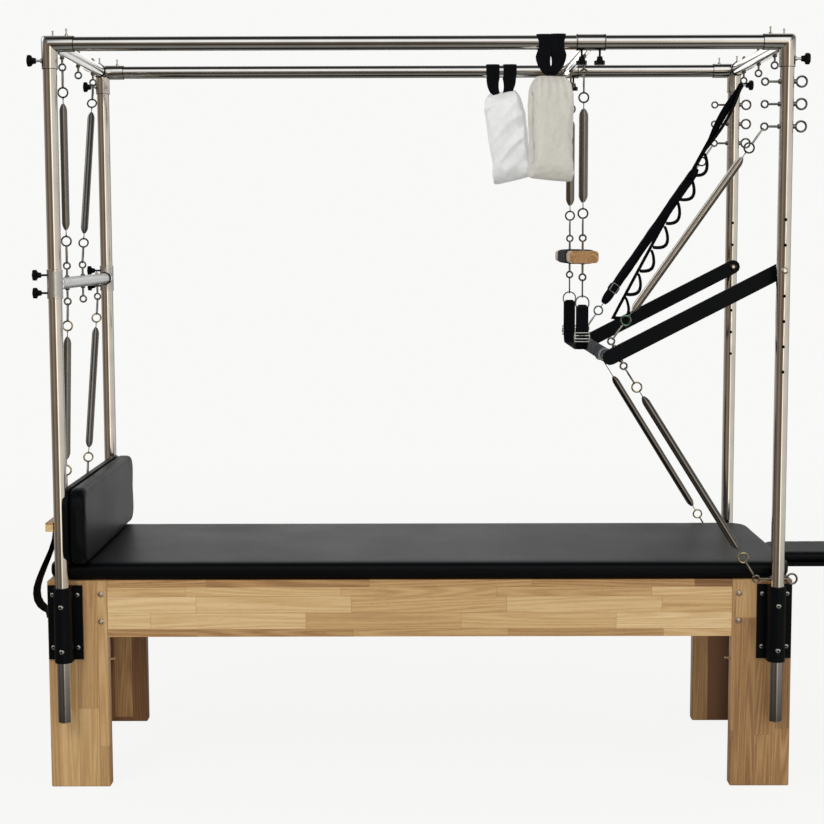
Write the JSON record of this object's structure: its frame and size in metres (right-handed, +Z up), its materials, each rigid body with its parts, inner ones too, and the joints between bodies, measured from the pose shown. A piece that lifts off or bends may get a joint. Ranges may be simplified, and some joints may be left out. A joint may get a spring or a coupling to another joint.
{
  "type": "pilates trapeze table",
  "caption": "Padded wooden exercise bed under a tubular steel canopy with sliding bars, springs, a push bar, a hanging trapeze and padded loops.",
  "frame": {"origin": "centre of the whole part's bounding box in plan, on the floor", "axes": "+X along the bed towards the push bar end, +Y towards the rear long side, +Z up"},
  "size_m": [2.3979, 0.835, 2.0805],
  "materials": {
    "laminated_wood": "satin lacquer",
    "trapeze_wood": "matte lacquer",
    "stainless_steel": "polished",
    "spring_steel": "drawn wire",
    "black_paint": "satin powder coat",
    "painted_board": "satin paint",
    "black_leatherette": "fine grain",
    "black_webbing": "woven",
    "black_plastic": "moulded",
    "grey_foam": "closed cell foam",
    "white_fleece": "looped pile"
  },
  "bodies": {
    "frame": {"leg_front_left": "laminated_wood", "leg_rear_left": "laminated_wood", "leg_front_right": "laminated_wood", "leg_rear_right": "laminated_wood", "rail_frame": "laminated_wood", "deck_board": "laminated_wood", "mattress": "black_leatherette", "extension_board": "painted_board", "extension_pad": "black_leatherette", "extension_support": "black_paint", "post_front_left": "stainless_steel", "post_rear_left": "stainless_steel", "post_front_right": "stainless_steel", "post_rear_right": "stainless_steel", "post_bracket_front_left": "black_paint", "post_bracket_rear_left": "black_paint", "post_bracket_front_right": "black_paint", "post_bracket_rear_right": "black_paint", "side_tube_front": "stainless_steel", "side_tube_rear": "stainless_steel", "end_tube_left": "stainless_steel", "end_tube_right": "stainless_steel", "corner_fitting_front_left": "stainless_steel", "corner_fitting_rear_left": "stainless_steel", "corner_fitting_front_right": "stainless_steel", "corner_fitting_rear_right": "stainless_steel", "clamp_rail": "laminated_wood", "back_board": "painted_board", "back_pad": "black_leatherette", "end_strap": "black_webbing", "safety_strap": "black_webbing", "upper_left_spring_front": "spring_steel", "upper_left_spring_rear": "spring_steel", "lower_left_spring_front": "spring_steel", "lower_left_spring_rear": "spring_steel", "upper_push_spring_front": "spring_steel", "upper_push_spring_rear": "black_webbing", "lower_push_spring_front": "spring_steel", "lower_push_spring_rear": "spring_steel"},
    "mid_bar": {"mid_bar": "stainless_steel"},
    "mid_knob_front_a": {"mid_bar_knob_front_a": "black_plastic"},
    "mid_knob_front_b": {"mid_bar_knob_front_b": "black_plastic"},
    "mid_knob_rear_a": {"mid_bar_knob_rear_a": "black_plastic"},
    "mid_knob_rear_b": {"mid_bar_knob_rear_b": "black_plastic"},
    "push_bar": {"push_bar_frame": "black_paint", "push_bar_grip": "grey_foam"},
    "slide_bar": {"slide_bar": "stainless_steel"},
    "slide_knob_front_a": {"slide_bar_knob_front_a": "black_plastic"},
    "slide_knob_front_b": {"slide_bar_knob_front_b": "black_plastic"},
    "slide_knob_rear_a": {"slide_bar_knob_rear_a": "black_plastic"},
    "slide_knob_rear_b": {"slide_bar_knob_rear_b": "black_plastic"},
    "trapeze": {"trapeze_bar": "trapeze_wood", "trapeze_grip": "grey_foam", "trapeze_spring_front": "spring_steel", "trapeze_spring_rear": "spring_steel"},
    "sling": {"sling": "black_webbing"},
    "front_hanger": {"front_loop_hanger": "black_webbing"},
    "rear_hanger": {"rear_loop_hanger": "black_webbing"},
    "front_loop": {"front_loop_fleece": "white_fleece"},
    "rear_loop": {"rear_loop_fleece": "white_fleece"}
  },
  "joints": [
    {"name": "push_bar_swing", "type": "hinge", "parent": "frame", "child": "push_bar", "pos_m": [0.848, 0, 1.435], "axis": [0, 1, 0], "range_deg": [-25, 4], "stiffness_Nm_per_rad": 500, "springref_deg": 2.86, "deforming": ["upper_push_spring_front", "upper_push_spring_rear", "lower_push_spring_front", "lower_push_spring_rear", "safety_strap"]},
    {"name": "mid_bar_slide", "type": "slide", "parent": "frame", "child": "mid_bar", "axis": [0, 0, 1], "range_m": [-0.1, 0.12], "deforming": ["upper_left_spring_front", "upper_left_spring_rear", "lower_left_spring_front", "lower_left_spring_rear"]},
    {"name": "mid_knob_front_a_turn", "type": "hinge", "parent": "mid_bar", "child": "mid_knob_front_a", "pos_m": [-1.112, -0.38, 1.38], "axis": [-1, 0, 0], "continuous": true},
    {"name": "mid_knob_front_b_turn", "type": "hinge", "parent": "mid_bar", "child": "mid_knob_front_b", "pos_m": [-1.112, -0.38, 1.428], "axis": [-1, 0, 0], "continuous": true},
    {"name": "mid_knob_rear_a_turn", "type": "hinge", "parent": "mid_bar", "child": "mid_knob_rear_a", "pos_m": [-1.112, 0.38, 1.38], "axis": [-1, 0, 0], "continuous": true},
    {"name": "mid_knob_rear_b_turn", "type": "hinge", "parent": "mid_bar", "child": "mid_knob_rear_b", "pos_m": [-1.112, 0.38, 1.428], "axis": [-1, 0, 0], "continuous": true},
    {"name": "slide_bar_slide", "type": "slide", "parent": "frame", "child": "slide_bar", "axis": [1, 0, 0], "range_m": [-0.85, 0]},
    {"name": "slide_knob_front_a_turn", "type": "hinge", "parent": "slide_bar", "child": "slide_knob_front_a", "pos_m": [0.302, -0.38, 2.04], "axis": [0, 0, -1], "continuous": true},
    {"name": "slide_knob_front_b_turn", "type": "hinge", "parent": "slide_bar", "child": "slide_knob_front_b", "pos_m": [0.35, -0.38, 2.04], "axis": [0, 0, -1], "continuous": true},
    {"name": "slide_knob_rear_a_turn", "type": "hinge", "parent": "slide_bar", "child": "slide_knob_rear_a", "pos_m": [0.302, 0.38, 2.04], "axis": [0, 0, -1], "continuous": true},
    {"name": "slide_knob_rear_b_turn", "type": "hinge", "parent": "slide_bar", "child": "slide_knob_rear_b", "pos_m": [0.35, 0.38, 2.04], "axis": [0, 0, -1], "continuous": true},
    {"name": "trapeze_swing", "type": "hinge", "parent": "slide_bar", "child": "trapeze", "pos_m": [0.326, 0, 1.974], "axis": [0, 1, 0], "range_deg": [0, 30]},
    {"name": "sling_swing", "type": "hinge", "parent": "trapeze", "child": "sling", "pos_m": [0.326, 0, 1.41], "axis": [0, 1, 0], "range_deg": [0, 60]},
    {"name": "front_loop_slide", "type": "slide", "parent": "frame", "child": "front_hanger", "axis": [1, 0, 0], "range_m": [-0.85, 0]},
    {"name": "rear_loop_slide", "type": "slide", "parent": "frame", "child": "rear_hanger", "axis": [1, 0, 0], "range_m": [-0.85, 0]},
    {"name": "front_loop_swing", "type": "hinge", "parent": "front_hanger", "child": "front_loop", "pos_m": [0.2205, -0.38, 1.995], "axis": [1, 0, 0], "range_deg": [-20, 20]},
    {"name": "rear_loop_swing", "type": "hinge", "parent": "rear_hanger", "child": "rear_loop", "pos_m": [0.126, 0.38, 1.995], "axis": [1, 0, 0], "range_deg": [-20, 20]}
  ],
  "couplings": [
    {"joint": "front_loop_slide", "follows": "slide_bar_slide", "ratio": 1},
    {"joint": "rear_loop_slide", "follows": "slide_bar_slide", "ratio": 1}
  ]
}
